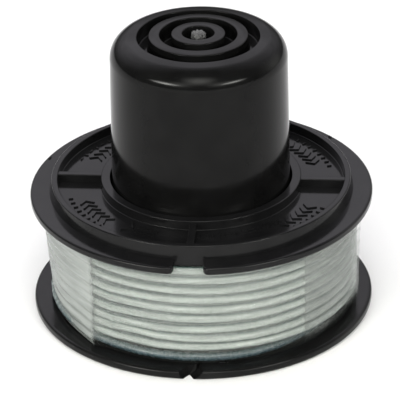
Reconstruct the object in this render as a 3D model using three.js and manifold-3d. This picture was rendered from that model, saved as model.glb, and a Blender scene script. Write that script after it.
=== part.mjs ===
// Replacement line reel for a tap-feed garden trimmer.
// Units are millimetres. +Z runs along the reel's axis, up through the tap knob.
// The origin is at the centre of the lower flange's underside. The line notch and the
// flange notch face -Y.

import * as THREE from 'three';
import { mergeVertices } from 'three/addons/utils/BufferGeometryUtils.js';
import Module from 'manifold-3d';

const wasm = await Module();
wasm.setup();

// ---------------------------------------------------------------- driving dimensions

const SEGMENTS = 56; // sides of every large circle
const GAP = 0.3; // space left between two pieces that touch
const BIG = 60; // longer than any part of the reel, for cutting tools
const OVERRUN = 0.5; // how far a cutting tool runs past the face that it cuts

// flanges and drum
const FLANGE_R = 34.3;
const LOWER_FLANGE_T = 1.8;
const LOWER_RIM_ROUND = 0.6;
const DRUM_R = 24.4;
const DRUM_INNER_R = 22.8;
const DRUM_TOP = 22.9; // a gap below the upper flange
const DRUM_FILLET = 0.5;
const WEB_TOP = 12.8; // partition that splits the drum into two chambers
const WEB_T = 1.6;
const GUIDE_HUB_R = DRUM_INNER_R - GAP;
const HUB_R = 7.0;
const HUB_BORE_R = 5.2;
const HUB_BOTTOM = 9.3;
const HUB_TOP = 20.0;
const SOCKET_RIB_COUNT = 6;
const SOCKET_RIB_T = 1.4;
const SOCKET_RIB_DEPTH = 2.5;

// line notch and drain window in the lower flange
const LINE_NOTCH_TOP = [ // outline at the flange's upper face, from the left jaw to the right
  [-2.4, -34.3], [-0.7, -31.8], [0.9, -31.0], [2.0, -31.2], [2.75, -34.3],
];
const LINE_NOTCH_FOOT = [ // outline just below the underside
  [-1.6, -34.3], [-0.4, -32.4], [0.6, -34.3],
];
const LINE_GROOVE = [[1.1, -31.8], [2.2, -29.4]]; // from the notch inward
const LINE_GROOVE_WIDTH = 1.2;
const LINE_GROOVE_DEPTH = 1.1;
const WINDOW_ANGLE = -78.4;
const WINDOW_R = 29.4;
const WINDOW_SIZE = [3.2, 2.0]; // along the radius, then across it

// upper flange
const RIM_TOP = 24.8;
const RIM_T = 1.6;
const PLATE_BOTTOM = RIM_TOP - RIM_T;
const RIM_ROUND = 0.5;
const RING_OUTER_R = 30.4;
const RING_INNER_R = 28.7;
const RING_TOP_R = 29.9; // its outer wall leans in towards the top
const RING_TOP = 27.4;
const TRAY_FLOOR = 25.45;
const COLLAR_OUTER_R = 20.0;
const COLLAR_INNER_R = 18.15;
const EDGE_BREAK = 0.2;
const SPIGOT_OUTER_R = DRUM_INNER_R - GAP;
const SPIGOT_INNER_R = 21.0;
const SPIGOT_BOTTOM = 19.6;
const RIB_COUNT = 4;
const RIB_T = 1.5;
const RIB_TOP = 27.05;
const NOTCH_WIDTH = 5.7;
const NOTCH_CORNER_R = 1.2;

// tap knob
const KNOB_BOTTOM = 20.4;
const KNOB_BOTTOM_R = 17.88;
const KNOB_TOP = 58.6;
const KNOB_TOP_R = 17.5;
const KNOB_EDGE_R = 4.3;
const KNOB_DOME_R = 105;
const KNOB_WALL = 1.9;
const KNOB_CEILING = 53.0;
const GROOVE_EDGES = [12.05, 9.77, 7.6, 5.3, 3.13]; // groove, ring, groove, ring, centre hole
const GROOVE_FLOOR = 55.0;
const NUB_R = 1.35;
const NUB_TOP = 58.2;
const BOSS_R = 5.4;
const BOSS_BOTTOM = 40.0;
const KEY_COUNT = 4;
const KEY_WIDTH = 3.0;
const KEY_OUTER_R = 19.8;
const KEY_TOP = PLATE_BOTTOM - GAP;
const KEY_GUIDE_T = 1.2;
const KEY_GUIDE_INNER_R = 18.7;
const KEY_GUIDE_TOP = 19.3;
const FIRST_KEY_ANGLE = 45;

// stem, bushing, clip, seat and spring
const STEM_R = 3.0;
const STEM_BOTTOM = 6.8;
const STEM_TOP = 51.0;
const STEM_CHAMFER = 0.5;
const CLIP_BOTTOM = 8.2;
const CLIP_TOP = HUB_BOTTOM - GAP;
const CLIP_INNER_R = 2.8;
const CLIP_OUTER_R = 6.0;
const CLIP_GROOVE_R = CLIP_INNER_R - GAP;
const BUSHING_BORE_R = 3.35;
const BUSHING_R = HUB_BORE_R - GAP;
const BUSHING_BOTTOM = 9.6;
const BUSHING_HEAD_R = 6.6;
const BUSHING_HEAD_T = 1.0;
const SEAT_INNER_R = 7.4;
const SEAT_OUTER_R = 12.0;
const SEAT_T = 0.7;
const SPRING_WIRE_R = 0.75;
const SPRING_MEAN_R = 9.5;
const SPRING_TURNS = 9;
const SPRING_END_PITCH = 1.9;
const SPRING_STEPS_PER_TURN = 10;

// drive ratchet
const RATCHET_OUTER_R = DRUM_INNER_R - GAP;
const RATCHET_INNER_R = 20.6;
const RATCHET_TIP_R = 18.6;
const RATCHET_BOTTOM = 1.0;
const RATCHET_TOP = WEB_TOP - WEB_T - SOCKET_RIB_DEPTH - GAP;
const RATCHET_TEETH = 8;
const RATCHET_TOOTH_ARC = 22; // degrees that one tooth takes up

// wound line and its wrap
const LINE_D = 1.65;
const WINDING_INNER_R = DRUM_R + GAP;
const WINDING_OUTER_R = 30.75;
const WINDING_BOTTOM = LOWER_FLANGE_T + GAP;
const WINDING_TOP = PLATE_BOTTOM - GAP;
const FILM_INNER_R = WINDING_OUTER_R + GAP;
const FILM_OUTER_R = 31.45;
const ANCHOR_Z = 18.2;
const ANCHOR_HOLE_R = 1.4;
const ANCHOR_ANGLE = 150;
const ANCHOR_TAIL = [ // radius and angle past the hole, from the drum's face inward
  [DRUM_R, 0],
  [23.6, 0],
  [22.8, 0.4],
  [21.7, 4],
  [21.0, 13],
  [20.8, 25],
  [20.8, 38],
];

// ---------------------------------------------------------------- materials

const finish = (color, roughness, metalness = 0) =>
  new THREE.MeshStandardMaterial({ color, roughness, metalness });

const blackPlastic = () => finish(0x141415, 0.42);
const ratchetPlastic = () => finish(0xd8d6cc, 0.5);
const springSteel = () => finish(0x9a9da0, 0.3, 1);
const zincSteel = () => finish(0xb8babd, 0.35, 1);
const bronze = () => finish(0xb08a4a, 0.45, 1);
const nylonLine = () => finish(0xcfd6cf, 0.35);
const clearFilm = () => finish(0xdfe6e2, 0.15);

// ---------------------------------------------------------------- solids

const radians = THREE.MathUtils.degToRad;

function solid(geometry) {
  const bare = geometry.clone();
  bare.deleteAttribute('normal');
  bare.deleteAttribute('uv');
  const merged = mergeVertices(bare);
  const vertProperties = new Float32Array(merged.attributes.position.array);
  const triVerts = new Uint32Array(merged.index.array);
  const made = new wasm.Manifold(new wasm.Mesh({ numProp: 3, vertProperties, triVerts }));
  return made;
}

function shapeOf(points) {
  return new THREE.Shape(points.map(([x, y]) => new THREE.Vector2(x, y)));
}

// Turns a closed outline of [radius, height] points, listed counter-clockwise, about +Z.
function revolve(outline, segments = SEGMENTS) {
  const closed = [...outline, outline[0]].map(([r, z]) => new THREE.Vector2(r, z));
  return solid(new THREE.LatheGeometry(closed, segments).rotateX(Math.PI / 2));
}

function tube(innerR, outerR, bottom, top, segments = SEGMENTS) {
  return revolve([[innerR, bottom], [outerR, bottom], [outerR, top], [innerR, top]], segments);
}

function prism(points, bottom, top) {
  const options = { depth: top - bottom, bevelEnabled: false };
  return solid(new THREE.ExtrudeGeometry(shapeOf(points), options).translate(0, 0, bottom));
}

// A block that reaches from innerR to outerR along the radius at an angle in degrees.
function radialBlock(innerR, outerR, width, bottom, top, angle) {
  const geometry = new THREE.BoxGeometry(outerR - innerR, width, top - bottom);
  geometry.translate((innerR + outerR) / 2, 0, (bottom + top) / 2);
  return solid(geometry.rotateZ(radians(angle)));
}

const join = (first, ...others) => others.reduce((all, next) => all.add(next), first);
const cut = (first, ...others) => others.reduce((all, next) => all.subtract(next), first);

function around(count, make, firstAngle = 0) {
  return Array.from({ length: count }, (_, i) => make(firstAngle + (i * 360) / count));
}

// Points on an arc about [r, z], from one angle to another, in degrees.
function arc(r, z, radius, from, to, steps) {
  return Array.from({ length: steps + 1 }, (_, i) => {
    const angle = radians(from + ((to - from) * i) / steps);
    return [r + radius * Math.cos(angle), z + radius * Math.sin(angle)];
  });
}

const reel = new THREE.Group();
const knob = new THREE.Group();
reel.add(knob);

function addPiece(group, name, shape, material) {
  const { numProp, vertProperties, triVerts } = shape.getMesh();
  const geometry = new THREE.BufferGeometry();
  geometry.setAttribute('position', new THREE.BufferAttribute(vertProperties, numProp));
  geometry.setIndex(new THREE.BufferAttribute(triVerts, 1));
  geometry.computeVertexNormals();
  const mesh = new THREE.Mesh(geometry, material);
  mesh.name = name;
  group.add(mesh);
}

// ---------------------------------------------------------------- lower flange and drum

// The line's parking notch: a funnel with sloping sides in the rim, and the V groove that
// runs on inward from it.
function lineNotchCutters() {
  const above = LOWER_FLANGE_T + OVERRUN;
  const pastRim = ([x, y]) => [x, y - 2 * OVERRUN];
  const open = (outline) => [...outline, pastRim(outline[0]), pastRim(outline[outline.length - 1])];
  const funnel = [
    ...open(LINE_NOTCH_FOOT).map(([x, y]) => [x, y, -EDGE_BREAK]),
    ...open(LINE_NOTCH_TOP).map(([x, y]) => [x, y, LOWER_FLANGE_T]),
    ...open(LINE_NOTCH_TOP).map(([x, y]) => [x, y, above]),
  ];
  const groove = LINE_GROOVE.flatMap(([x, y]) => [
    [x - LINE_GROOVE_WIDTH / 2, y, above],
    [x + LINE_GROOVE_WIDTH / 2, y, above],
    [x, y, LOWER_FLANGE_T - LINE_GROOVE_DEPTH],
  ]);
  return [wasm.Manifold.hull(funnel), wasm.Manifold.hull(groove)];
}

function reelBody() {
  const outline = [
    [DRUM_INNER_R, 0],
    ...arc(FLANGE_R - LOWER_RIM_ROUND, LOWER_RIM_ROUND, LOWER_RIM_ROUND, -90, 0, 2),
    ...arc(FLANGE_R - LOWER_RIM_ROUND, LOWER_FLANGE_T - LOWER_RIM_ROUND, LOWER_RIM_ROUND, 0, 90, 2),
    [DRUM_R + DRUM_FILLET, LOWER_FLANGE_T],
    [DRUM_R, LOWER_FLANGE_T + DRUM_FILLET],
    [DRUM_R, DRUM_TOP],
    [DRUM_INNER_R, DRUM_TOP],
  ];
  const [windowLength, windowWidth] = WINDOW_SIZE;
  const drainWindow = radialBlock(
    WINDOW_R - windowLength / 2, WINDOW_R + windowLength / 2, windowWidth,
    -OVERRUN, LOWER_FLANGE_T + OVERRUN, WINDOW_ANGLE,
  );
  const anchorHole = solid(
    new THREE.CylinderGeometry(ANCHOR_HOLE_R, ANCHOR_HOLE_R, DRUM_R, 12)
      .rotateZ(Math.PI / 2)
      .translate(DRUM_R, 0, ANCHOR_Z)
      .rotateZ(radians(ANCHOR_ANGLE)),
  );
  return cut(revolve(outline), drainWindow, anchorHole, ...lineNotchCutters());
}

addPiece(reel, 'reel_body', reelBody(), blackPlastic());

// ---------------------------------------------------------------- guide hub

// The partition inside the drum, with the stem's guide and the pairs of ribs that the
// knob's keys run between.
function guideHub() {
  const webBottom = WEB_TOP - WEB_T;
  const outline = [
    [HUB_BORE_R, HUB_BOTTOM],
    [HUB_R, HUB_BOTTOM],
    [HUB_R, webBottom],
    [GUIDE_HUB_R, webBottom],
    [GUIDE_HUB_R, WEB_TOP],
    [HUB_R, WEB_TOP],
    [HUB_R, HUB_TOP],
    [HUB_BORE_R, HUB_TOP],
  ];
  const socketRibs = around(SOCKET_RIB_COUNT, (angle) => radialBlock(
    HUB_R - OVERRUN, GUIDE_HUB_R - OVERRUN, SOCKET_RIB_T,
    webBottom - SOCKET_RIB_DEPTH, WEB_TOP - WEB_T / 2, angle,
  ));
  const guideOffset = KEY_WIDTH / 2 + GAP + KEY_GUIDE_T / 2;
  const keyGuides = around(KEY_COUNT, (angle) => {
    const sides = [-guideOffset, guideOffset].map((offset) => {
      const length = GUIDE_HUB_R - OVERRUN - KEY_GUIDE_INNER_R;
      const height = KEY_GUIDE_TOP - WEB_TOP + OVERRUN;
      const block = new THREE.BoxGeometry(length, KEY_GUIDE_T, height);
      block.translate(KEY_GUIDE_INNER_R + length / 2, offset, KEY_GUIDE_TOP - height / 2);
      return solid(block.rotateZ(radians(angle)));
    });
    return join(...sides);
  }, FIRST_KEY_ANGLE);
  return join(revolve(outline), ...socketRibs, ...keyGuides);
}

addPiece(reel, 'guide_hub', guideHub(), blackPlastic());

// ---------------------------------------------------------------- upper flange

function rimNotch() {
  const half = NOTCH_WIDTH / 2;
  const mouthHalf = half + NOTCH_CORNER_R;
  const mouthY = -Math.sqrt(FLANGE_R ** 2 - mouthHalf ** 2);
  const flare = (side) => arc(
    side * mouthHalf, mouthY + NOTCH_CORNER_R, NOTCH_CORNER_R,
    side > 0 ? 180 : -90, side > 0 ? 270 : 0, 3,
  );
  return prism([
    [-mouthHalf, -BIG],
    [mouthHalf, -BIG],
    ...flare(1).reverse(),
    [half, -RING_OUTER_R],
    [-half, -RING_OUTER_R],
    ...flare(-1).reverse(),
  ], PLATE_BOTTOM - OVERRUN, RIM_TOP + OVERRUN);
}

function upperFlange() {
  const outline = [
    [COLLAR_INNER_R, PLATE_BOTTOM],
    [SPIGOT_INNER_R, PLATE_BOTTOM],
    [SPIGOT_INNER_R, SPIGOT_BOTTOM],
    [SPIGOT_OUTER_R, SPIGOT_BOTTOM],
    [SPIGOT_OUTER_R, PLATE_BOTTOM],
    ...arc(FLANGE_R - RIM_ROUND, PLATE_BOTTOM + RIM_ROUND, RIM_ROUND, -90, 0, 2),
    ...arc(FLANGE_R - RIM_ROUND, RIM_TOP - RIM_ROUND, RIM_ROUND, 0, 90, 2),
    [RING_OUTER_R, RIM_TOP],
    [RING_TOP_R, RING_TOP - EDGE_BREAK],
    [RING_TOP_R - EDGE_BREAK, RING_TOP],
    [RING_INNER_R + EDGE_BREAK, RING_TOP],
    [RING_INNER_R, RING_TOP - EDGE_BREAK],
    [RING_INNER_R, TRAY_FLOOR],
    [COLLAR_OUTER_R, TRAY_FLOOR],
    [COLLAR_OUTER_R, RING_TOP - EDGE_BREAK],
    [COLLAR_OUTER_R - EDGE_BREAK, RING_TOP],
    [COLLAR_INNER_R, RING_TOP],
  ];
  const ribs = around(RIB_COUNT, (angle) => radialBlock(
    COLLAR_OUTER_R - OVERRUN, RING_INNER_R + OVERRUN, RIB_T,
    TRAY_FLOOR - OVERRUN, RIB_TOP, angle,
  ));
  return cut(join(revolve(outline), ...ribs), rimNotch());
}

addPiece(reel, 'upper_flange', upperFlange(), blackPlastic());

// ---------------------------------------------------------------- drive ratchet

function driveRatchet() {
  const ring = tube(RATCHET_INNER_R, RATCHET_OUTER_R, RATCHET_BOTTOM, RATCHET_TOP);
  const polar = (r, angle) => [r * Math.cos(radians(angle)), r * Math.sin(radians(angle))];
  const rootR = RATCHET_INNER_R + OVERRUN;
  const teeth = around(RATCHET_TEETH, (angle) => prism([
    polar(rootR, angle),
    polar(rootR, angle + RATCHET_TOOTH_ARC),
    polar(RATCHET_TIP_R, angle + RATCHET_TOOTH_ARC),
    polar(RATCHET_TIP_R, angle + RATCHET_TOOTH_ARC * 0.7),
  ].reverse(), RATCHET_BOTTOM, RATCHET_TOP));
  return join(ring, ...teeth);
}

addPiece(reel, 'drive_ratchet', driveRatchet(), ratchetPlastic());

// ---------------------------------------------------------------- bushing and spring seat

const bushing = revolve([
  [BUSHING_BORE_R, BUSHING_BOTTOM],
  [BUSHING_R, BUSHING_BOTTOM],
  [BUSHING_R, HUB_TOP + GAP],
  [BUSHING_HEAD_R, HUB_TOP + GAP],
  [BUSHING_HEAD_R, HUB_TOP + GAP + BUSHING_HEAD_T],
  [BUSHING_BORE_R, HUB_TOP + GAP + BUSHING_HEAD_T],
], 28);
addPiece(reel, 'hub_bushing', bushing, bronze());

const seatBottom = WEB_TOP + GAP;
const seatTop = seatBottom + SEAT_T;
addPiece(reel, 'spring_seat', tube(SEAT_INNER_R, SEAT_OUTER_R, seatBottom, seatTop, 28), zincSteel());

// ---------------------------------------------------------------- wound line and wrap

const winding = tube(WINDING_INNER_R, WINDING_OUTER_R, WINDING_BOTTOM, WINDING_TOP);
addPiece(reel, 'line_winding', winding, nylonLine());

// The line's inner end goes through the drum's wall and lies along its inner face.
function lineAnchorEnd() {
  const points = ANCHOR_TAIL.map(([r, turn]) => {
    const angle = radians(ANCHOR_ANGLE + turn);
    return new THREE.Vector3(r * Math.cos(angle), r * Math.sin(angle), ANCHOR_Z);
  });
  const section = new THREE.Shape().absarc(0, 0, LINE_D / 2, 0, 2 * Math.PI);
  const options = { steps: 12, curveSegments: 4, extrudePath: new THREE.CatmullRomCurve3(points) };
  return solid(new THREE.ExtrudeGeometry(section, options));
}

addPiece(reel, 'line_anchor_end', lineAnchorEnd(), nylonLine());

const film = tube(FILM_INNER_R, FILM_OUTER_R, WINDING_BOTTOM, WINDING_TOP);
addPiece(reel, 'retaining_film', film, clearFilm());

// ---------------------------------------------------------------- tap knob

const domeHeight = (r) => KNOB_TOP - r ** 2 / (2 * KNOB_DOME_R);

// The crown's outline from its rounded edge to the middle, down and up through each groove.
function crownOutline() {
  const points = [];
  GROOVE_EDGES.forEach((r, i) => {
    const top = [r, domeHeight(r)];
    const floor = [r, GROOVE_FLOOR];
    points.push(...(i % 2 === 0 ? [top, floor] : [floor, top]));
  });
  return [...points, [NUB_R, GROOVE_FLOOR], [NUB_R, NUB_TOP], [0, NUB_TOP]];
}

function tapKnob() {
  const edgeZ = domeHeight(KNOB_TOP_R - KNOB_EDGE_R) - KNOB_EDGE_R;
  const wallTop = [KNOB_TOP_R - KNOB_WALL, KNOB_CEILING - KNOB_WALL];
  const outline = [
    [0, KNOB_CEILING],
    [KNOB_TOP_R - 2 * KNOB_WALL, KNOB_CEILING],
    wallTop,
    [KNOB_BOTTOM_R - KNOB_WALL, KNOB_BOTTOM],
    [KNOB_BOTTOM_R, KNOB_BOTTOM],
    ...arc(KNOB_TOP_R - KNOB_EDGE_R, edgeZ, KNOB_EDGE_R, 0, 90, 5),
    ...crownOutline(),
  ];
  const keys = around(KEY_COUNT, (angle) => radialBlock(
    KNOB_BOTTOM_R - KNOB_WALL / 2, KEY_OUTER_R, KEY_WIDTH, KNOB_BOTTOM, KEY_TOP, angle,
  ), FIRST_KEY_ANGLE);
  const boss = tube(STEM_R + GAP, BOSS_R, BOSS_BOTTOM, KNOB_CEILING + OVERRUN);
  return join(revolve(outline), boss, ...keys);
}

addPiece(knob, 'bump_knob', tapKnob(), blackPlastic());

function stemPin() {
  return revolve([
    [0, STEM_BOTTOM],
    [STEM_R - STEM_CHAMFER, STEM_BOTTOM],
    [STEM_R, STEM_BOTTOM + STEM_CHAMFER],
    [STEM_R, CLIP_BOTTOM - GAP],
    [CLIP_GROOVE_R, CLIP_BOTTOM - GAP],
    [CLIP_GROOVE_R, CLIP_TOP + GAP],
    [STEM_R, CLIP_TOP + GAP],
    [STEM_R, STEM_TOP],
    [0, STEM_TOP],
  ], 28);
}

addPiece(knob, 'stem_pin', stemPin(), zincSteel());

// An open ring with a gap, snapped into the stem's groove below the hub.
function retainingClip() {
  const ring = tube(CLIP_INNER_R, CLIP_OUTER_R, CLIP_BOTTOM, CLIP_TOP, 28);
  const opening = radialBlock(0, CLIP_OUTER_R + OVERRUN, 2 * CLIP_GROOVE_R, 0, BIG, 90);
  return cut(ring, opening);
}

addPiece(knob, 'retaining_clip', retainingClip(), springSteel());

// A compression spring with a closed turn at each end.
class SpringCurve extends THREE.Curve {
  getPoint(t, target = new THREE.Vector3()) {
    const bottom = seatTop + GAP + SPRING_WIRE_R;
    const top = KNOB_CEILING - GAP - SPRING_WIRE_R;
    const openTurns = SPRING_TURNS - 2;
    const openPitch = (top - bottom - 2 * SPRING_END_PITCH) / openTurns;
    const turn = t * SPRING_TURNS;
    const opened = Math.min(Math.max(turn - 1, 0), openTurns);
    const z = bottom + (turn - opened) * SPRING_END_PITCH + opened * openPitch;
    const angle = 2 * Math.PI * turn;
    return target.set(SPRING_MEAN_R * Math.cos(angle), SPRING_MEAN_R * Math.sin(angle), z);
  }
}

const springOptions = {
  steps: SPRING_TURNS * SPRING_STEPS_PER_TURN,
  curveSegments: 4,
  extrudePath: new SpringCurve(),
};
const wireSection = new THREE.Shape().absarc(0, 0, SPRING_WIRE_R, 0, 2 * Math.PI);
const springShape = solid(new THREE.ExtrudeGeometry(wireSection, springOptions));
addPiece(reel, 'knob_spring', springShape, springSteel());

export default reel;
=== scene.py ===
import math

import bmesh
import bpy
from mathutils import Matrix, Vector
from mathutils.geometry import tessellate_polygon


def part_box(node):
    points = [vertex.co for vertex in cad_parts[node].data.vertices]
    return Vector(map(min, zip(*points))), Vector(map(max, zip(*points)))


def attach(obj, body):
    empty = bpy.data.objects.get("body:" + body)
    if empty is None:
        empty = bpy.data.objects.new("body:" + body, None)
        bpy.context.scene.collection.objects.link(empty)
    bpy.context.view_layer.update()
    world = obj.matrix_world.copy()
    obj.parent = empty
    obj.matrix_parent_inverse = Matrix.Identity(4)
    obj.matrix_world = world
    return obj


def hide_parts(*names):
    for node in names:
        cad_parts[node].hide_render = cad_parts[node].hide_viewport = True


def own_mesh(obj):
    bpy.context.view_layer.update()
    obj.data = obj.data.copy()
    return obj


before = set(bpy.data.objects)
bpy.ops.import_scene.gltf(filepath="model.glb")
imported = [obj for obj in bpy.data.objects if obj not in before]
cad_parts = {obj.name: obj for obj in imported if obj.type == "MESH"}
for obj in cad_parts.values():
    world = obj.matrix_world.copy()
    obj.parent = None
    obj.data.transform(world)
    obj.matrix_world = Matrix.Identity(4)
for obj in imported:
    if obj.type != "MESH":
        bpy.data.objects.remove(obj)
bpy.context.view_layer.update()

# Sizes are in millimetres unless a name says otherwise, and turned into metres by MM
# where a mesh, a curve or a place in the scene is made. Angles are in degrees about +Z.
MM = 0.001


def cad_size(node):
    low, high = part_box(node)
    return low / MM, high / MM


_, REEL_HIGH = cad_size("reel_body")
UPPER_LOW, UPPER_HIGH = cad_size("upper_flange")
KNOB_LOW, _ = cad_size("bump_knob")
WINDING_LOW, WINDING_HIGH = cad_size("line_winding")
SPRING_LOW, SPRING_HIGH = cad_size("knob_spring")

# flanges and drum
FLANGE_R = REEL_HIGH.x - 0.05  # just inside the CAD box
LOWER_T = 1.8
LOWER_ROUND = 0.6
DRUM_R = 24.4
DRUM_INNER_R = 22.8
DRUM_TOP = REEL_HIGH.z
# The line's parking notch: its corners (x, y) on the flange's top and on its underside, and
# the line that the groove runs along from it.
LINE_NOTCH_TOP = [(-2.4, -34.3), (-0.7, -31.8), (0.9, -31.0), (2.0, -31.2), (2.75, -34.3)]
LINE_NOTCH_FOOT = [(-1.6, -34.3), (-0.4, -32.4), (0.6, -34.3)]
LINE_GROOVE = [(1.1, -31.8), (2.2, -29.4)]
LINE_GROOVE_WIDTH = 1.2
LINE_GROOVE_DEPTH = 1.1
# The slot that the line's inner end comes out by, and the drain window in the lower flange.
ANCHOR_Z = 18.2
ANCHOR_ANGLE = 154
ANCHOR_SLOT = (4, 9, 2.4)
WINDOW_ANGLE = -78.4
WINDOW_R = 29.4
WINDOW_LENGTH = 3.2
WINDOW_WIDTH = 2.0

# upper flange
RIM_TOP = 24.8
RIM_T = 1.6
RIM_ROUND = 0.5
RING_OUTER_R = 30.4
RING_INNER_R = 28.7
RING_TOP_R = 29.9  # its outer wall leans in
RING_TOP = UPPER_HIGH.z
PLATE_BOTTOM = DRUM_TOP + 0.3
TRAY_FLOOR = 25.45
COLLAR_OUTER_R = 20.0
COLLAR_INNER_R = 18.15
SPIGOT_OUTER_R = 22.5
SPIGOT_INNER_R = 21.0
SPIGOT_BOTTOM = UPPER_LOW.z
RIB_T = 1.5
RIB_TOP = 27.05
RIB_ANGLES = (0, 90, 180, 270)
NOTCH_WIDTH = 5.7
NOTCH_CORNER_R = 1.2

# moulding marks
MARK_HEIGHT = 0.28
MARK_SINK = 0.05
MARK_TAPER = 0.16  # how much shorter and narrower a mark's top is
MARK_WIDTH = 0.3
ACROSS = 90  # the turn that lays a mark across the circle

# tap knob
KNOB_BOTTOM = KNOB_LOW.z
KNOB_BOTTOM_R = 17.88
KNOB_TOP = 58.58
KNOB_TOP_R = 17.5
KNOB_EDGE_R = 4.3
KNOB_DOME_R = 105
KNOB_WALL = 1.9
KNOB_CEILING = 53.0
# The outer and the inner radius of each ring groove in the crown, then the centre hole's.
GROOVE_EDGES = [12.05, 9.77, 7.6, 5.3, 3.13]
GROOVE_FLOOR = 55.0
GROOVE_LIP = 0.22
GROOVE_DRAFT = 0.06
NUB_R = 1.35
NUB_FOOT = 0.6
NUB_TOP = 58.3
NUB_Y = 0.45
NUB_ROUGHNESS = 0.06
KEY_ANGLES = (45, 135, 225, 315)
KEY_WIDTH = 3.0
KEY_OUTER_R = 19.8
KEY_TOP = DRUM_TOP
BOSS_R = 5.4
BOSS_BORE_R = 3.3
BOSS_BOTTOM = 40.0

# wound line
LINE_D = 1.65
LINE_LENGTH = 6100
LAYER_R = [25.26, 26.94, 28.62, 30.3]
OUTER_PITCH = 2.13
WINDING_Z = [WINDING_LOW.z + 0.75, WINDING_HIGH.z - 0.75]  # centres of the end strands
TAIL_R = 20.8
TAIL_ANGLES = [188, 171, 137]  # free end, start of the rise, start of the first layer
TAIL_STEPS = 16
POINTS_PER_TURN = 40
LAYER_STEP_TURNS = 0.12
LOWEST_STRAND_Z = 3.2  # strands below this, or above the next one, lie level
HIGHEST_STRAND_Z = 21.5
STRAND_DIP = 0.55  # how far strands dip at the wrap's crease, and rise beside it
LOW_LEFT_PULL = 0.8  # how far the lowest strand lies further in, on the reel's left

# clear wrap
FILM_R = 31.19
FILM_T = 0.05
FILM_BOTTOM = LOWER_T + 0.25
FILM_TOP = PLATE_BOTTOM - 0.1
FILM_END_ANGLE = -7.5
FILM_OVERLAP = 38
FLAP_ANGLE = -20.5  # where the loose end leaves the winding, straight on
FLAP_LEAN = 3
FLAP_FROM = 0.9  # the share of the wrap's length where its end begins to come loose
CREASE_ANGLE = -128.6
LOOSE_CORNER_ANGLE = -25
LOOSE_CORNER_LIFT = 3.2
FILM_SAG = 0.3  # how far it dips between two strands
FILM_COLUMNS = 420
FILM_ROWS = 84

STEPS = 256  # sides of every large circle
SHARP_ANGLE = 35


# ---------------------------------------------------------------- camera and stage


def make_camera():
    """The camera of a long-lens product shot: its place, its aim and a slight roll."""
    azimuth, elevation = math.radians(5.0), math.radians(27.97)
    distance, roll = 630.7, -0.0206
    aim = Vector((0, 0, 21.51))
    side_shift = -0.32
    back = Vector((
        math.sin(azimuth) * math.cos(elevation),
        -math.cos(azimuth) * math.cos(elevation),
        math.sin(elevation),
    ))
    level = Vector((math.cos(azimuth), math.sin(azimuth), 0))
    upright = back.cross(level)
    right = level * math.cos(roll) + upright * math.sin(roll)
    up = upright * math.cos(roll) - level * math.sin(roll)
    place = (aim + back * distance + level * side_shift) * MM
    data = bpy.data.cameras.new("camera")
    data.sensor_width = 36
    data.lens = 282.7
    data.clip_start, data.clip_end = 0.01, 20
    camera = bpy.data.objects.new("camera", data)
    turn = Matrix((right, up, back)).transposed().to_4x4()
    camera.matrix_world = Matrix.Translation(place) @ turn
    bpy.context.scene.collection.objects.link(camera)
    bpy.context.scene.camera = camera


def node_material(name):
    """A new material with its Principled shader and its node tree."""
    material = bpy.data.materials.new(name)
    material.use_nodes = True
    return material, material.node_tree, material.node_tree.nodes["Principled BSDF"]


def make_floor():
    bm = bmesh.new()
    bmesh.ops.create_grid(bm, x_segments=1, y_segments=1, size=3.0)
    mesh = bpy.data.meshes.new("floor")
    bm.to_mesh(mesh)
    bm.free()
    floor = bpy.data.objects.new("floor", mesh)
    floor.location.z = -0.05 * MM  # the reel stands just clear of it
    bpy.context.scene.collection.objects.link(floor)
    material, _, shader = node_material("floor_white")
    shader.inputs["Base Color"].default_value = (0.9, 0.9, 0.9, 1)
    shader.inputs["Roughness"].default_value = 0.9
    shader.inputs["Specular IOR Level"].default_value = 0.1
    mesh.materials.append(material)


def area_light(name, azimuth, elevation, distance, size, radiance, colour, shape="RECTANGLE"):
    """A soft panel that faces the reel from a direction given in degrees."""
    data = bpy.data.lights.new(name, "AREA")
    data.shape = shape
    data.size, data.size_y = size
    area = size[0] * size[1] * (math.pi / 4 if shape == "ELLIPSE" else 1)
    data.energy = radiance * math.pi * area
    data.color = colour
    light = bpy.data.objects.new(name, data)
    a, e = math.radians(azimuth), math.radians(elevation)
    outward = Vector((math.cos(a) * math.cos(e), math.sin(a) * math.cos(e), math.sin(e)))
    middle_of_reel = Vector((0, 0, 0.03))
    light.location = middle_of_reel + outward * distance
    light.rotation_mode = "QUATERNION"
    light.rotation_quaternion = outward.to_track_quat("Z", "Y")
    light.visible_camera = False
    bpy.context.scene.collection.objects.link(light)
    return light


def soft_light(name, azimuth, elevation, distance, size, radiance, colour):
    """A panel that fades towards its edge: ellipses of growing size, one behind the other."""
    spreads_and_shares = [(0.45, 0.3), (0.8, 0.3), (1.15, 0.25), (1.5, 0.15)]
    spacing = 0.02
    for step, (spread, share) in enumerate(spreads_and_shares):
        grown = [side * spread for side in size]
        area_light(f"{name}_{step}", azimuth, elevation, distance + spacing * step, grown,
                   radiance * share, colour, "ELLIPSE")


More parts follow.
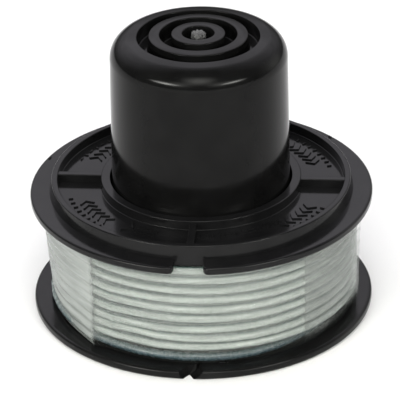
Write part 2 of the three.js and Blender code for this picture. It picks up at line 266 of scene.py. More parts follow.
def make_lights():
    """Soft panels: direction, distance and size in metres, brightness and colour."""
    cool, warm, white = (0.98, 0.95, 1.03), (1.0, 1.0, 0.95), (1, 1, 1)
    soft_light("back_left", 128, 42, 1.5, (2.0, 1.5), 1.4, cool)
    soft_light("back_right", 62, 42, 1.5, (2.0, 1.5), 0.95, cool)
    soft_light("side_right", 25, 12, 1.5, (0.9, 1.0), 1.1, warm)
    soft_light("softbox_left", -130, 22, 1.1, (0.58, 0.13), 42, warm)
    soft_light("softbox_right", -41, 22, 1.1, (0.50, 0.13), 33, warm)
    soft_light("front_left", -112, 26, 1.2, (0.60, 0.44), 3.2, warm)
    soft_light("front_right", -60, 24, 1.2, (0.56, 0.40), 3.2, warm)
    soft_light("front_high", -85, 47, 1.2, (0.60, 0.72), 6.2, warm)
    fill = area_light("ceiling", 0, 90, 1.6, (1.6, 1.6), 1.15, white)
    fill.visible_glossy = False
    world = bpy.data.worlds.new("studio")
    world.use_nodes = True
    background = world.node_tree.nodes["Background"]
    background.inputs["Color"].default_value = (1, 1, 1, 1)
    background.inputs["Strength"].default_value = 0.12
    bpy.context.scene.world = world
    bpy.context.scene.view_settings.view_transform = "Standard"


# ---------------------------------------------------------------- materials


def link(tree, source, target):
    tree.links.new(source, target)


def map_range(tree, value, from_low, from_high, to_low=0.0, to_high=1.0):
    node = tree.nodes.new("ShaderNodeMapRange")
    for name, number in (("From Min", from_low), ("From Max", from_high),
                         ("To Min", to_low), ("To Max", to_high)):
        node.inputs[name].default_value = number
    link(tree, value, node.inputs["Value"])
    return node.outputs["Result"]


def maths(tree, operation, *operands):
    """A Math node, each of whose operands is an output or a plain number."""
    node = tree.nodes.new("ShaderNodeMath")
    node.operation = operation
    for operand, socket in zip(operands, node.inputs):
        if isinstance(operand, float):
            socket.default_value = operand
        else:
            link(tree, operand, socket)
    return node.outputs["Value"]


def object_xyz(tree):
    """The X, Y and Z of the point on the piece, in metres."""
    coordinate = tree.nodes.new("ShaderNodeTexCoord")
    split = tree.nodes.new("ShaderNodeSeparateXYZ")
    link(tree, coordinate.outputs["Object"], split.inputs["Vector"])
    return [split.outputs[axis] for axis in "XYZ"]


def object_position(tree, stretch=(1, 1, 1)):
    """The point on the piece in millimetres, stretched along each axis."""
    coordinate = tree.nodes.new("ShaderNodeTexCoord")
    mapping = tree.nodes.new("ShaderNodeMapping")
    mapping.inputs["Scale"].default_value = [s / MM for s in stretch]
    link(tree, coordinate.outputs["Object"], mapping.inputs["Vector"])
    return mapping.outputs["Vector"]


def noise_value(tree, position, scale, detail=3, low=0.0, high=1.0):
    """Noise with features of about 1/scale millimetres, spread from low to high."""
    texture = tree.nodes.new("ShaderNodeTexNoise")
    texture.inputs["Scale"].default_value = scale
    texture.inputs["Detail"].default_value = detail
    link(tree, position, texture.inputs["Vector"])
    return map_range(tree, texture.outputs["Fac"], 0.3, 0.7, low, high)


def colour_between(tree, factor, first, second):
    ramp = tree.nodes.new("ShaderNodeValToRGB")
    ramp.color_ramp.elements[0].color = (*first, 1)
    ramp.color_ramp.elements[1].color = (*second, 1)
    link(tree, factor, ramp.inputs["Fac"])
    return ramp.outputs["Color"]


def blended_from(tree, colour, share, other):
    """A plain colour that gives way to another output as share rises to 1."""
    mix = tree.nodes.new("ShaderNodeMix")
    mix.data_type = "RGBA"
    mix.inputs["A"].default_value = (*colour, 1)
    link(tree, share, mix.inputs["Factor"])
    link(tree, other, mix.inputs["B"])
    return mix.outputs["Result"]


def bump(tree, shader, height, depth, strength=1.0):
    node = tree.nodes.new("ShaderNodeBump")
    node.inputs["Distance"].default_value = depth * MM
    node.inputs["Strength"].default_value = strength
    link(tree, height, node.inputs["Height"])
    link(tree, node.outputs["Normal"], shader.inputs["Normal"])


def moulded_plastic(name, dark, light, smooth, rough, specular, grain):
    """Clouds from dark to light, gloss from smooth to rough, and a fine moulded grain."""
    material, tree, shader = node_material(name)
    position = object_position(tree)
    clouds = noise_value(tree, position, 0.22, 4)
    link(tree, colour_between(tree, clouds, dark, light), shader.inputs["Base Color"])
    gloss = noise_value(tree, position, 0.6, 5, smooth, rough)
    link(tree, gloss, shader.inputs["Roughness"])
    bump(tree, shader, noise_value(tree, position, 5.0, 4), grain, 0.5)
    shader.inputs["Specular IOR Level"].default_value = specular
    return material


def metal(name, colour, roughness, stretch):
    """Metal with faint drawing or turning lines along the axis that isn't stretched."""
    material, tree, shader = node_material(name)
    position = object_position(tree, stretch)
    lines = noise_value(tree, position, 1.5, 4)
    darker = [c * 0.75 for c in colour]
    link(tree, colour_between(tree, lines, darker, colour), shader.inputs["Base Color"])
    gloss = noise_value(tree, position, 2.5, 3, roughness * 0.8, roughness * 1.3)
    link(tree, gloss, shader.inputs["Roughness"])
    bump(tree, shader, lines, 0.01, 0.4)
    shader.inputs["Metallic"].default_value = 1.0
    return material


def around_position(tree, along, across):
    """A place on the winding: millimetres round the axis and up it, each times a stretch."""
    x, y, z = object_xyz(tree)
    joined = tree.nodes.new("ShaderNodeCombineXYZ")
    link(tree, maths(tree, "ARCTAN2", y, x), joined.inputs["X"])
    link(tree, z, joined.inputs["Y"])
    mapping = tree.nodes.new("ShaderNodeMapping")
    mapping.inputs["Scale"].default_value = (along * FILM_R, across / MM, 1)
    link(tree, joined.outputs["Vector"], mapping.inputs["Vector"])
    return mapping.outputs["Vector"]


def outward_facing(tree):
    """1 where the surface faces straight away from the reel's axis, 0 where it faces along it."""
    coordinate = tree.nodes.new("ShaderNodeTexCoord")
    flat = tree.nodes.new("ShaderNodeVectorMath")
    flat.operation = "MULTIPLY"
    flat.inputs[1].default_value = (1, 1, 0)
    link(tree, coordinate.outputs["Object"], flat.inputs[0])
    away = tree.nodes.new("ShaderNodeVectorMath")
    away.operation = "NORMALIZE"
    link(tree, flat.outputs["Vector"], away.inputs[0])
    facing = tree.nodes.new("ShaderNodeVectorMath")
    facing.operation = "DOT_PRODUCT"
    link(tree, away.outputs["Vector"], facing.inputs[0])
    link(tree, coordinate.outputs["Normal"], facing.inputs[1])
    return facing.outputs["Value"]


def height_share(tree, low, high, least=0.0):
    """Rises from least at the low height to 1 at the high one, both in millimetres."""
    _, _, z = object_xyz(tree)
    return map_range(tree, z, low * MM, high * MM, least)


def nylon_line():
    """Milky drawn nylon, slightly green, with painted shade down its sides and at the winding's
    foot.
    """
    material, tree, shader = node_material("nylon_line")
    streaks = noise_value(tree, around_position(tree, 0.08, 1.6), 1.0, 3)
    pale = colour_between(tree, streaks, (0.43, 0.475, 0.435), (0.58, 0.625, 0.585))
    # Painted shade: the strands' sides, which turn into the valleys between them, go dark
    # green-grey, and the lowest strands by the flange go darker still.
    valley_shade_colour, foot_shade_colour = (0.10, 0.15, 0.135), (0.035, 0.06, 0.07)
    off_side = map_range(tree, outward_facing(tree), 0.3, 0.8)
    valley_shaded = blended_from(tree, valley_shade_colour, off_side, pale)
    whole = blended_from(tree, foot_shade_colour, height_share(tree, 3.2, 5.6), valley_shaded)
    link(tree, whole, shader.inputs["Base Color"])
    gloss = noise_value(tree, object_position(tree), 1.2, 3, 0.18, 0.34)
    link(tree, gloss, shader.inputs["Roughness"])
    bump(tree, shader, streaks, 0.02, 0.5)
    shader.inputs["Subsurface Weight"].default_value = 0.2
    shader.inputs["Subsurface Radius"].default_value = (0.8 * MM, 1.0 * MM, 0.9 * MM)
    shader.inputs["Subsurface Scale"].default_value = 1.0
    shader.inputs["IOR"].default_value = 1.53
    return material


def facet_share(tree):
    """1 on the flat facet beside the crease, where the wrap stands clear of the line."""
    x, y, _ = object_xyz(tree)
    curve = tree.nodes.new("ShaderNodeFloatCurve")
    link(tree, maths(tree, "ARCTAN2", y, x), curve.inputs["Value"])
    points = curve.mapping.curves[0].points
    curve.mapping.clip_min_x, curve.mapping.clip_max_x = -math.pi, math.pi
    share_at = {-180: 0.1, -160: 0.7, CREASE_ANGLE - 1.5: 1, CREASE_ANGLE + 0.5: 0, 180: 0}
    corners = [(math.radians(angle), share) for angle, share in share_at.items()]
    for corner in corners[1:-1]:
        points.new(*corner)
    for point, corner in zip(points, corners):
        point.location = corner
        point.handle_type = "VECTOR"
    curve.mapping.update()
    return curve.outputs["Value"]


def clear_film():
    """Thin stretch film: mostly see-through, with milky streaks, cloudier on its facet."""
    material, tree, shader = node_material("clear_film")
    position = around_position(tree, 0.12, 1.3)
    streaks = noise_value(tree, position, 1.0, 4)
    milk = colour_between(tree, streaks, (0.29, 0.315, 0.297), (0.38, 0.41, 0.39))
    link(tree, milk, shader.inputs["Base Color"])
    # The haze thins towards the foot so that the painted shade on the lowest strands shows through.
    haze = maths(tree, "MULTIPLY", noise_value(tree, position, 0.8, 4, 0.16, 0.34),
                 height_share(tree, 3.0, 6.0, 0.06))
    facet_haze = 0.6
    opacity = maths(tree, "MULTIPLY_ADD", facet_share(tree), facet_haze, haze)
    link(tree, opacity, shader.inputs["Alpha"])
    link(tree, noise_value(tree, position, 1.5, 3, 0.12, 0.24), shader.inputs["Roughness"])
    bump(tree, shader, streaks, 0.02, 0.4)
    shader.inputs["IOR"].default_value = 1.7
    return material


def grey(value):
    return (value, value, value)


def make_materials():
    return {
        "knob": moulded_plastic("knob_plastic", grey(0.0035), grey(0.006), 0.1, 0.16, 0.11, 0.001),
        "flange": moulded_plastic("flange_plastic", (0.006, 0.006, 0.0063),
                                  (0.009, 0.009, 0.0094), 0.09, 0.15, 0.16, 0.003),
        "reel": moulded_plastic("black_plastic", grey(0.0045), grey(0.008), 0.13, 0.2, 0.14, 0.004),
        "nub": moulded_plastic("gate_plastic", grey(0.04), grey(0.14), 0.4, 0.6, 0.5, 0.15),
        "ratchet": moulded_plastic("ratchet_plastic", (0.56, 0.54, 0.47), (0.66, 0.64, 0.58),
                                   0.35, 0.5, 0.5, 0.01),
        "bronze": metal("bronze", (0.55, 0.38, 0.18), 0.4, (1, 1, 0.1)),
        "zinc": metal("zinc_steel", (0.6, 0.61, 0.62), 0.3, (1, 1, 0.1)),
        "spring": metal("spring_steel", (0.4, 0.41, 0.42), 0.25, (0.2, 0.2, 1)),
        "line": nylon_line(),
        "film": clear_film(),
    }


# ---------------------------------------------------------------- mesh helpers


def polar(r, angle, z=0.0):
    return Vector((r * math.cos(math.radians(angle)), r * math.sin(math.radians(angle)), z))


def rounded(corners, arc_steps=5):
    """A closed outline from corners (x, y) or (x, y, radius), with an arc at each radius."""
    points = []
    for i, corner in enumerate(corners):
        here = Vector(corner[:2])
        radius = corner[2] if len(corner) > 2 else 0
        if not radius:
            points.append(here)
            continue
        before = (Vector(corners[i - 1][:2]) - here).normalized()
        after = (Vector(corners[(i + 1) % len(corners)][:2]) - here).normalized()
        half = before.angle(after) / 2
        reach = radius / math.tan(half)
        centre = here + (before + after).normalized() * radius / math.sin(half)
        start = here + before * reach - centre
        end = here + after * reach - centre
        sweep = start.angle_signed(end)
        for k in range(arc_steps + 1):
            turn = Matrix.Rotation(-sweep * k / arc_steps, 2)
            points.append(centre + turn @ start)
    return points


def to_object(name, bm):
    bmesh.ops.recalc_face_normals(bm, faces=bm.faces)
    mesh = bpy.data.meshes.new(name)
    bm.to_mesh(mesh)
    bm.free()
    made = bpy.data.objects.new(name, mesh)
    bpy.context.scene.collection.objects.link(made)
    return made


def lathe(name, outline, steps=STEPS):
    """Turns a closed outline of (radius, height) points about +Z."""
    bm = bmesh.new()
    rings = []
    for r, z in outline:
        if r < 1e-6:
            rings.append([bm.verts.new(Vector((0, 0, z)) * MM)])
            continue
        rings.append([bm.verts.new(polar(r, 360 * k / steps, z) * MM) for k in range(steps)])
    for i, ring in enumerate(rings):
        following = rings[(i + 1) % len(rings)]
        if len(ring) == len(following) == 1:
            continue
        for k in range(steps):
            n = (k + 1) % steps
            corners = [ring[k % len(ring)], following[k % len(following)],
                       following[n % len(following)], ring[n % len(ring)]]
            bm.faces.new(list(dict.fromkeys(corners)))
    return to_object(name, bm)


def rounded_plate(name, outline, hole_r, bottom, top, edge_round, arc_steps=8):
    """A flat plate with a rounded edge all along its outline, and a round hole."""
    bm = bmesh.new()
    profile = [(edge_round * (1 - math.cos(a)), top - edge_round * (1 - math.sin(a)))
               for a in (math.pi / 2 * (1 - k / arc_steps) for k in range(arc_steps + 1))]
    profile += [(inset, top + bottom - z) for inset, z in reversed(profile)]
    count = len(outline)
    inward = []
    for k, here in enumerate(outline):
        along = (Vector(outline[(k + 1) % count]) - Vector(outline[k - 1])).normalized()
        inward.append(Vector((-along.y, along.x)))
    loops = []
    for inset, z in profile:
        places = [Vector(p) + n * inset for p, n in zip(outline, inward)]
        loops.append([bm.verts.new(Vector((*p, z)) * MM) for p in places])
    for z in (bottom, top):
        loops.append([bm.verts.new(polar(hole_r, 360 * k / STEPS, z) * MM) for k in range(STEPS)])
    for upper, lower in zip(loops, loops[1:-2]):
        for k in range(count):
            n = (k + 1) % count
            bm.faces.new([upper[k], lower[k], lower[n], upper[n]])
    for k in range(STEPS):
        n = (k + 1) % STEPS
        bm.faces.new([loops[-2][k], loops[-2][n], loops[-1][n], loops[-1][k]])
    for rim, hole in ((loops[0], loops[-1]), (loops[-3], loops[-2])):
        corners = rim + hole
        triangles = tessellate_polygon([[v.co for v in rim], [v.co for v in hole]])
        for triangle in triangles:
            bm.faces.new([corners[index] for index in triangle])
    return to_object(name, bm)


def hull(name, points):
    """The convex solid round a list of (x, y, z) points."""
    bm = bmesh.new()
    for place in points:
        bm.verts.new(Vector(place) * MM)
    bmesh.ops.convex_hull(bm, input=bm.verts)
    loose = [v for v in bm.verts if not v.link_faces]
    bmesh.ops.delete(bm, geom=loose, context="VERTS")
    return to_object(name, bm)


def block(name, size, centre, angle=0.0, round_width=0.0):
    """A box with rounded edges, turned about +Z after it is placed."""
    bm = bmesh.new()
    bmesh.ops.create_cube(bm, size=1)
    bmesh.ops.scale(bm, vec=Vector(size) * MM, verts=bm.verts)
    if round_width:
        bmesh.ops.bevel(bm, geom=bm.edges, offset=round_width * MM, segments=3,
                        profile=0.5, affect="EDGES")
    bmesh.ops.translate(bm, vec=Vector(centre) * MM, verts=bm.verts)
    bmesh.ops.rotate(bm, cent=(0, 0, 0), matrix=Matrix.Rotation(math.radians(angle), 3, "Z"),
                     verts=bm.verts)
    return to_object(name, bm)


def combine(target, tools, operation):
    """Joins tools to target, or cuts them from it, and removes them."""
    for tool in tools:
        modifier = target.modifiers.new("combine", "BOOLEAN")
        modifier.operation = operation
        modifier.solver = "EXACT"
        modifier.object = tool
        bpy.context.view_layer.update()
        result = bpy.data.meshes.new_from_object(
            target.evaluated_get(bpy.context.evaluated_depsgraph_get()))
        target.modifiers.clear()
        target.data = result
        bpy.data.objects.remove(tool)
    return target


def finish_piece(piece, body, material, replaced=()):
    """Smooth shading with sharp corners and level faces kept, then material and body, and the CAD
    parts it replaces hidden.
    """
    level_normal = 0.9999
    bm = bmesh.new()
    bm.from_mesh(piece.data)
    bmesh.ops.dissolve_degenerate(bm, dist=0.001 * MM, edges=bm.edges)
    for face in bm.faces:
        face.smooth = abs(face.normal.z) < level_normal
    limit = math.radians(SHARP_ANGLE)
    for edge in bm.edges:
        shading = [face.smooth for face in edge.link_faces]
        edge.smooth = (len(shading) == 2 and shading[0] == shading[1]
                       and edge.calc_face_angle(0) < limit)
    bm.to_mesh(piece.data)
    bm.free()
    piece.data.materials.clear()
    piece.data.materials.append(material)
    weighted = piece.modifiers.new("flat faces stay flat", "WEIGHTED_NORMAL")
    weighted.keep_sharp = True
    weighted.weight = 80
    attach(piece, body)
    if replaced:
        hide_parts(*replaced)
    return piece


# ---------------------------------------------------------------- mouldings


def line_notch_cutters():
    """The line's parking notch, a funnel in the rim, and the V groove that runs inward."""
    above, below, past = LOWER_T + 0.5, -0.2, 1.0

    def opened(outline):
        ends = [(x, y - past) for x, y in (outline[0], outline[-1])]
        return [*outline, *ends]

    funnel = [(x, y, below) for x, y in opened(LINE_NOTCH_FOOT)]
    funnel += [(x, y, z) for x, y in opened(LINE_NOTCH_TOP) for z in (LOWER_T, above)]
    groove = []
    for x, y in LINE_GROOVE:
        groove += [(x - LINE_GROOVE_WIDTH / 2, y, above), (x + LINE_GROOVE_WIDTH / 2, y, above),
                   (x, y, LOWER_T - LINE_GROOVE_DEPTH)]
    return [hull("funnel", funnel), hull("groove", groove)]


def make_reel_body(materials):
    body = lathe("reel_body_moulding", rounded([
        (DRUM_INNER_R, 0, 0.3),
        (FLANGE_R, 0, LOWER_ROUND),
        (FLANGE_R, LOWER_T, LOWER_ROUND),
        (DRUM_R, LOWER_T, 0.5),
        (DRUM_R, DRUM_TOP, 0.2),
        (DRUM_INNER_R, DRUM_TOP, 0.2),
    ]))
    window = block("window", (WINDOW_LENGTH, WINDOW_WIDTH, 4), (WINDOW_R, 0, 0), WINDOW_ANGLE, 0.3)
    wall_middle = (DRUM_R + DRUM_INNER_R) / 2
    anchor = block("anchor_slot", ANCHOR_SLOT, (wall_middle, 0, ANCHOR_Z), ANCHOR_ANGLE, 0.3)
    combine(body, [window, anchor, *line_notch_cutters()], "DIFFERENCE")
    finish_piece(body, "spool", materials["reel"], replaced=["reel_body"])


def notched_rim():
    """The upper rim's outline: a circle with a notch at -90 degrees, its jaws rounded."""
    half = NOTCH_WIDTH / 2
    inner_y = -RING_OUTER_R + 0.3  # a little way into the raised ring's wall
    jaw_y = -math.sqrt(FLANGE_R ** 2 - half ** 2)
    beside_y = jaw_y * 0.991  # the circle's place as far again from the notch's middle
    notch = rounded([
        (-half * 2, beside_y),
        (-half, jaw_y, NOTCH_CORNER_R),
        (-half, inner_y),
        (half, inner_y),
        (half, jaw_y, NOTCH_CORNER_R),
        (half * 2, beside_y),
    ], 8)[1:-1]
    gap = math.degrees(math.asin((half + NOTCH_CORNER_R) / FLANGE_R)) + 0.4
    first, last = -90 + gap, 270 - gap
    rim = [polar(FLANGE_R, first + (last - first) * k / STEPS).to_2d() for k in range(STEPS + 1)]
    return rim + notch


def make_upper_flange(materials):
    rim = rounded_plate("upper_flange_moulding", notched_rim(), RING_OUTER_R - 1.2,
                        RIM_TOP - RIM_T, RIM_TOP, RIM_ROUND)
    middle = lathe("middle", rounded([
        (COLLAR_INNER_R, PLATE_BOTTOM, 0.2),
        (SPIGOT_INNER_R, PLATE_BOTTOM),
        (SPIGOT_INNER_R, SPIGOT_BOTTOM, 0.2),
        (SPIGOT_OUTER_R, SPIGOT_BOTTOM, 0.3),
        (SPIGOT_OUTER_R, PLATE_BOTTOM),
        (RING_OUTER_R - 0.02, PLATE_BOTTOM, 0.1),
        (RING_OUTER_R, RIM_TOP),
        (RING_TOP_R, RING_TOP, 0.3),
        (RING_INNER_R, RING_TOP, 0.2),
        (RING_INNER_R, TRAY_FLOOR, 0.15),
        (COLLAR_OUTER_R, TRAY_FLOOR, 0.15),
        (COLLAR_OUTER_R, RING_TOP, 0.2),
        (COLLAR_INNER_R, RING_TOP, 0.15),
    ]))
    rib_length = RING_INNER_R - COLLAR_OUTER_R + 1.0
    rib_height = RIB_TOP - TRAY_FLOOR + 0.5
    rib_centre = ((RING_INNER_R + COLLAR_OUTER_R) / 2, 0, RIB_TOP - rib_height / 2)
    ribs = [block("rib", (rib_length, RIB_T, rib_height), rib_centre, angle, 0.18)
            for angle in RIB_ANGLES]
    combine(middle, ribs, "UNION")
    body = combine(rim, [middle], "UNION")
    finish_piece(body, "spool", materials["flange"], replaced=["upper_flange"])


def make_marks(materials):
    """Low raised moulding marks: bars, dots, chevrons, ticks and an arrow."""
    bm = bmesh.new()

    def bar(r, angle, length, width=MARK_WIDTH, turn=0.0, z=TRAY_FLOOR):
        """A low bar that lies along the circle of radius r, or at a turn from it."""
        made = bmesh.ops.create_cube(bm, size=1)["verts"]
        for vertex in made:
            raised = vertex.co.z > 0
            inset = MARK_TAPER if raised else 0
            x = vertex.co.x * (length - inset)
            y = vertex.co.y * (width - inset)
            vertex.co = Vector((x, y, MARK_HEIGHT if raised else -MARK_SINK))
        direction = Matrix.Rotation(math.radians(angle + 90 + turn), 4, "Z")
        place = Matrix.Translation(polar(r, angle, z))
        bmesh.ops.transform(bm, matrix=Matrix.Scale(MM, 4) @ place @ direction, verts=made)

    # front right: pairs of bars, bars across and pairs of dots, in turn
    for k, angle in enumerate(range(-84, -42, 4)):
        if k % 3 == 0:
            bar(22.3, angle, 1.5)
            bar(23.1, angle, 1.5)
        elif k % 3 == 1:
            bar(22.7, angle, 1.3, turn=ACROSS)
        else:
            bar(22.0, angle, 0.4, 0.4)
            bar(23.3, angle, 0.4, 0.4)
    # chevrons in each quarter
    for middle in (-146, -34, 34, 146):
        for k in range(6):
            angle = middle + 4.2 * (k - 2.5)
            for side in (-1, 1):
                bar(24.0 + side * 0.7, angle, 2.0, 0.35, ACROSS + side * 40)
    # ticks outside the chevrons, every other one across
    for first in (-162, -50, 18, 132):
        for angle in range(first, first + 32, 4):
            bar(26.6, angle, 1.0, turn=ACROSS if angle % 8 else 0)
    # front left: an arrow's outline
    for side in (-1, 1):
        bar(23.2 + side * 0.8, -114, 5.0)
        bar(23.2 + side * 0.95, -122.6, 2.6, turn=side * 48)
    # two short marks on the rim
    for angle in (161.6, 42.1):
        bar(33.5, angle, 0.9, 0.35, z=RIM_TOP)
    finish_piece(to_object("mould_marks", bm), "spool", materials["flange"])


def dome_height(r):
    """The crown's height at a distance from its middle."""
    return KNOB_TOP - r ** 2 / (2 * KNOB_DOME_R)


def make_knob(materials):
    edge_z = dome_height(KNOB_TOP_R - KNOB_EDGE_R) - KNOB_EDGE_R
    fillet = [(KNOB_TOP_R - KNOB_EDGE_R + KNOB_EDGE_R * math.cos(math.radians(a)),
               edge_z + KNOB_EDGE_R * math.sin(math.radians(a))) for a in range(0, 85, 5)]
    crown = []
    for i, r in enumerate(GROOVE_EDGES):
        slope = GROOVE_DRAFT if i % 2 == 0 else -GROOVE_DRAFT
        lip = (r, dome_height(r), GROOVE_LIP)
        floor = (r - slope, GROOVE_FLOOR, 0.3)
        crown += [lip, floor] if i % 2 == 0 else [floor, lip]
    outline = rounded([
        (KNOB_BOTTOM_R - KNOB_WALL, KNOB_BOTTOM, 0.3),
        (KNOB_BOTTOM_R, KNOB_BOTTOM, 0.4),
        *fillet,
        *crown,
        (0, GROOVE_FLOOR),
        (0, KNOB_CEILING),
        (BOSS_BORE_R, KNOB_CEILING),
        (BOSS_BORE_R, BOSS_BOTTOM),
        (BOSS_R, BOSS_BOTTOM, 0.3),
        (BOSS_R, KNOB_CEILING, 0.5),
        (KNOB_TOP_R - 2 * KNOB_WALL, KNOB_CEILING),
        (KNOB_TOP_R - KNOB_WALL, KNOB_CEILING - KNOB_WALL),
    ])
    knob = lathe("tap_knob", [tuple(p) for p in outline])
    key_depth = KEY_OUTER_R - KNOB_BOTTOM_R + 0.8
    keys = [block("key", (key_depth, KEY_WIDTH, KEY_TOP - KNOB_BOTTOM),
                  (KEY_OUTER_R - key_depth / 2, 0, (KEY_TOP + KNOB_BOTTOM) / 2), angle, 0.2)
            for angle in KEY_ANGLES]
    combine(knob, keys, "UNION")
    finish_piece(knob, "knob", materials["knob"], replaced=["bump_knob"])


def make_nub(materials):
    """The rough stub that the moulding gate left in the crown's centre hole."""
    foot, row = GROOVE_FLOOR + NUB_FOOT, 0.25
    stub = [(0, GROOVE_FLOOR), (NUB_R + 0.25, GROOVE_FLOOR), (NUB_R, foot)]
    stub += [(NUB_R, foot + row * k) for k in range(1, 10)]
    stub += [(NUB_R * share, NUB_TOP) for share in (0.92, 0.75, 0.55, 0.35, 0.15, 0)]
    nub = lathe("gate_nub", stub, 48)
    lumps_per_mm, lift = 4.4, 0.07
    for vertex in nub.data.vertices:
        if vertex.co.z / MM > GROOVE_FLOOR + NUB_FOOT / 2:
            x, y, z = vertex.co / MM * lumps_per_mm
            rough = (math.sin(x * 2.1 + y) + math.sin(y * 2.7 - z)
                     + math.sin(z * 3 + x * 1.7))
            vertex.co.x *= 1 + NUB_ROUGHNESS * rough
            vertex.co.y *= 1 + NUB_ROUGHNESS * rough
            vertex.co.z += lift * rough * MM
        vertex.co.y += NUB_Y * MM
    finish_piece(nub, "knob", materials["nub"])


# ---------------------------------------------------------------- wound line and wrap


def bell(x, width):
    """1 at 0, falling away on both sides within about a width."""
    return math.exp(-(x / width) ** 2)


def smooth_step(x):
    """0 up to 0, 1 from 1 on, and a smooth rise between."""
    x = min(max(x, 0), 1)
    return x * x * (3 - 2 * x)


def angle_between(a, b):
    """How far a lies past b, from -180 to 180."""
    return (a - b + 180) % 360 - 180


def strand_wander(angle, z):
    """How far the strands lie above or below an even winding, at a place on the drum."""
    a = math.radians(angle)
    waves = (0.10 * math.sin(a * 2 + z * 0.9) + 0.08 * math.sin(a * 3 - z * 1.7 + 1.3)
             + 0.07 * math.sin(a + z * 2.3 + 4.0))
    dip = STRAND_DIP * bell(angle_between(angle, CREASE_ANGLE + 3), 9)
    hump = STRAND_DIP * bell(angle_between(angle, CREASE_ANGLE + 14), 5)
    above_foot, below_top = z - LOWEST_STRAND_Z, HIGHEST_STRAND_Z - z
    clear = smooth_step(above_foot / 5) * smooth_step(below_top / 8)
    low = smooth_step(above_foot / 3) * (1 - smooth_step((z - 5) / 7))
    return waves - dip * clear + hump * low


def inward_pull(angle, up):
    """How far the outer layer lies further in than LAYER_R, low down on the reel's left."""
    return LOW_LEFT_PULL * (1 - up) * bell(angle_between(angle, 180), 38)


def tail_radius(angle):
    """The line's inner end lies inside the drum, then rises through the anchor slot."""
    _, rise, start = TAIL_ANGLES
    return TAIL_R + (LAYER_R[0] - TAIL_R) * smooth_step((rise - angle) / (rise - start))


def winding_points():
    """The whole line's centre, from its free inner end to its outer end."""
    bottom, top = WINDING_Z
    heights = [top - bottom] * len(LAYER_R)
    heights[0] = ANCHOR_Z - bottom
    tail = math.radians(TAIL_ANGLES[0] - TAIL_ANGLES[2]) * (TAIL_R + LAYER_R[0]) / 2
    steps_between = 2 * math.pi * LAYER_STEP_TURNS * sum(LAYER_R[1:])
    outer_length = 2 * math.pi * LAYER_R[-1] * heights[-1] / OUTER_PITCH
    inner_per_pitch = sum(2 * math.pi * r * h for r, h in zip(LAYER_R[:-1], heights))
    inner_pitch = inner_per_pitch / (LINE_LENGTH - tail - steps_between - outer_length)
    points = []
    for k in range(TAIL_STEPS):
        angle = TAIL_ANGLES[0] + (TAIL_ANGLES[2] - TAIL_ANGLES[0]) * k / TAIL_STEPS
        points.append(polar(tail_radius(angle), angle, ANCHOR_Z))
    angle, z = TAIL_ANGLES[2], ANCHOR_Z
    for layer, r in enumerate(LAYER_R):
        outer = layer == len(LAYER_R) - 1
        turns = heights[layer] / (OUTER_PITCH if outer else inner_pitch)
        count = round(turns * POINTS_PER_TURN)
        rise = heights[layer] if layer % 2 else -heights[layer]
        for k in range(count):
            share = k / count
            here, height = angle - 360 * turns * share, z + rise * share
            calm = min(1, share * turns, (1 - share) * turns)
            pull = calm * inward_pull(here, (height - bottom) / (top - bottom)) if outer else 0
            points.append(polar(r - pull, here, height + calm * strand_wander(here, height)))
        angle, z = angle - 360 * turns, z + rise
        if not outer:
            steps = round(LAYER_STEP_TURNS * POINTS_PER_TURN)
            for k in range(steps):
                share = k / steps
                climb = r + (LAYER_R[layer + 1] - r) * smooth_step(share)
                points.append(polar(climb, angle - 360 * LAYER_STEP_TURNS * share, z))
            angle -= 360 * LAYER_STEP_TURNS
    points.append(polar(LAYER_R[-1], angle, z))
    return points, angle


def make_line(materials):
    points, last_angle = winding_points()
    curve = bpy.data.curves.new("wound_line", "CURVE")
    curve.dimensions = "3D"
    curve.bevel_depth = LINE_D / 2 * MM
    curve.bevel_resolution = 3
    curve.use_fill_caps = True
    spline = curve.splines.new("POLY")
    spline.points.add(len(points) - 1)
    for point, place in zip(spline.points, points):
        point.co = (*(place * MM), 1)
    spline.use_smooth = True
    line = bpy.data.objects.new("wound_line", curve)
    bpy.context.scene.collection.objects.link(line)
    curve.materials.append(materials["line"])
    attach(line, "spool")
    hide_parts("line_winding", "line_anchor_end")
    return last_angle


def flat_facet(angle, start, end, reach):
    """How far a wrap that runs straight on from start, a tangent, stands off by angle."""
    past = angle_between(angle, start) * (1 if end > start else -1)
    if past <= 0:
        return 0
    inside = min(past, abs(end - start))
    proud = FILM_R * (1 / math.cos(math.radians(inside)) - 1)
    return proud * (1 - smooth_step((past - inside) / reach))


def film_bottom(angle):
    """The wrap's lower edge: nearly level, lifted at the loose corner."""
    lift = LOOSE_CORNER_LIFT * bell(angle_between(angle, LOOSE_CORNER_ANGLE), 8)
    return FILM_BOTTOM + lift + 0.12 * math.sin(math.radians(angle) * 9)


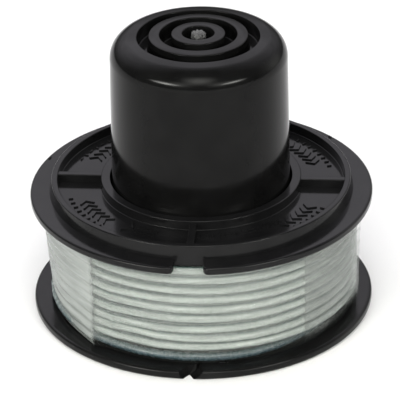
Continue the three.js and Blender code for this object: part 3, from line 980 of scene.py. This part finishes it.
def film_radius(angle, z, outer_angle, along):
    """How far the wrap stands from the axis: over the strands, with creases and a loose end."""
    low = 1 - smooth_step((z - FILM_BOTTOM) / 12)
    up = (z - WINDING_Z[0]) / (WINDING_Z[1] - WINDING_Z[0])
    turns_left = (outer_angle - angle) / 360
    even_z = WINDING_Z[1] + turns_left * OUTER_PITCH
    phase = (z - strand_wander(angle, z) - even_z) / OUTER_PITCH
    loose = smooth_step(angle_between(angle, FLAP_ANGLE) / 8) if along > FLAP_FROM else 0
    sag = FILM_SAG * (0.5 - 0.5 * math.cos(2 * math.pi * phase)) * (1 - 0.8 * loose)
    left_bulge = 0.7 * smooth_step(up) * bell(angle_between(angle, -172), 24)
    crease_start = CREASE_ANGLE - 9 - 4 * low
    crease = flat_facet(angle, crease_start, CREASE_ANGLE, 6) if along > 0.2 else 0
    waves = 0.05 * math.sin(math.radians(angle) * 5 + z * 0.35)
    overlap_from = 1 - FILM_OVERLAP / (360 + FILM_OVERLAP)
    overlap = smooth_step((along - overlap_from) / 0.01)
    second_layer = 0.10 * overlap
    flap = overlap * flat_facet(angle, FLAP_ANGLE, FILM_END_ANGLE + 20, 1)
    wrinkled = overlap * low * bell(angle_between(angle, LOOSE_CORNER_ANGLE), 9)
    wrinkles = wrinkled * (0.12 + 0.2 * math.sin(z * 2.4 + math.radians(angle) * 9))
    return (FILM_R - sag - inward_pull(angle, up) + left_bulge + crease + waves
            + second_layer + flap + wrinkles)


def make_film(materials, outer_angle):
    """The wrap: a strip once round the winding, its loose end lying over its start."""
    bm = bmesh.new()
    sweep = 360 + FILM_OVERLAP
    grid = []
    for i in range(FILM_COLUMNS + 1):
        along = i / FILM_COLUMNS
        column = []
        for j in range(FILM_ROWS + 1):
            up = j / FILM_ROWS
            lean = FLAP_LEAN * (up - 0.5) * smooth_step((along - FLAP_FROM) / (1 - FLAP_FROM))
            angle = FILM_END_ANGLE - sweep * (1 - along) + lean
            bottom = film_bottom(angle) if along > 0.5 else FILM_BOTTOM
            z = bottom + (FILM_TOP - bottom) * up
            r = film_radius(angle, z, outer_angle, along)
            column.append(bm.verts.new(polar(r, angle, z) * MM))
        grid.append(column)
    for i in range(FILM_COLUMNS):
        for j in range(FILM_ROWS):
            bm.faces.new([grid[i][j], grid[i + 1][j], grid[i + 1][j + 1], grid[i][j + 1]])
    film = to_object("clear_wrap", bm)
    solid = film.modifiers.new("thickness", "SOLIDIFY")
    solid.thickness = FILM_T * MM
    solid.offset = 1
    for polygon in film.data.polygons:
        polygon.use_smooth = True
    film.data.materials.append(materials["film"])
    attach(film, "spool")
    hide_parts("retaining_film")


# ---------------------------------------------------------------- hidden pieces


def bevelled_cad(node, material, width):
    """A CAD node that stays, with softened edges and a finished material."""
    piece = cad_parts[node]
    piece.data.materials.clear()
    piece.data.materials.append(material)
    soften = piece.modifiers.new("soft edges", "BEVEL")
    soften.width = width * MM
    soften.segments = 2
    soften.limit_method = "ANGLE"
    soften.angle_limit = math.radians(40)


def make_spring(materials):
    """A compression spring with closed ends."""
    low, high = SPRING_LOW.z, SPRING_HIGH.z
    wire_r, turns, end_pitch = 0.75, 9, 1.9
    mean_r = SPRING_HIGH.x - wire_r
    bottom, top = low + wire_r, high - wire_r
    open_turns = turns - 2
    open_pitch = (top - bottom - 2 * end_pitch) / open_turns
    per_turn, sides = 48, 16
    bm = bmesh.new()
    rings = []
    for k in range(turns * per_turn + 1):
        turn = k / per_turn
        opened = min(max(turn - 1, 0), open_turns)
        z = bottom + (turn - opened) * end_pitch + opened * open_pitch
        ring = []
        for s in range(sides):
            a = 2 * math.pi * s / sides
            r, height = mean_r + wire_r * math.cos(a), z + wire_r * math.sin(a)
            ring.append(bm.verts.new(polar(r, 360 * turn, height) * MM))
        rings.append(ring)
    for before, after in zip(rings, rings[1:]):
        for s in range(sides):
            n = (s + 1) % sides
            bm.faces.new([before[s], before[n], after[n], after[s]])
    bm.faces.new(rings[0])
    bm.faces.new(rings[-1])
    spring = finish_piece(to_object("return_spring", bm), "spool", materials["spring"],
                          replaced=["knob_spring"])
    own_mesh(spring)


# ---------------------------------------------------------------- build

make_camera()
make_floor()
make_lights()
materials = make_materials()
outer_angle = make_line(materials)
make_film(materials, outer_angle)
make_reel_body(materials)
make_upper_flange(materials)
make_marks(materials)
make_knob(materials)
make_nub(materials)
make_spring(materials)
bevelled_cad("drive_ratchet", materials["ratchet"], 0.15)
bevelled_cad("guide_hub", materials["reel"], 0.15)
bevelled_cad("hub_bushing", materials["bronze"], 0.1)
bevelled_cad("spring_seat", materials["zinc"], 0.08)
bevelled_cad("stem_pin", materials["zinc"], 0.08)
bevelled_cad("retaining_clip", materials["spring"], 0.08)
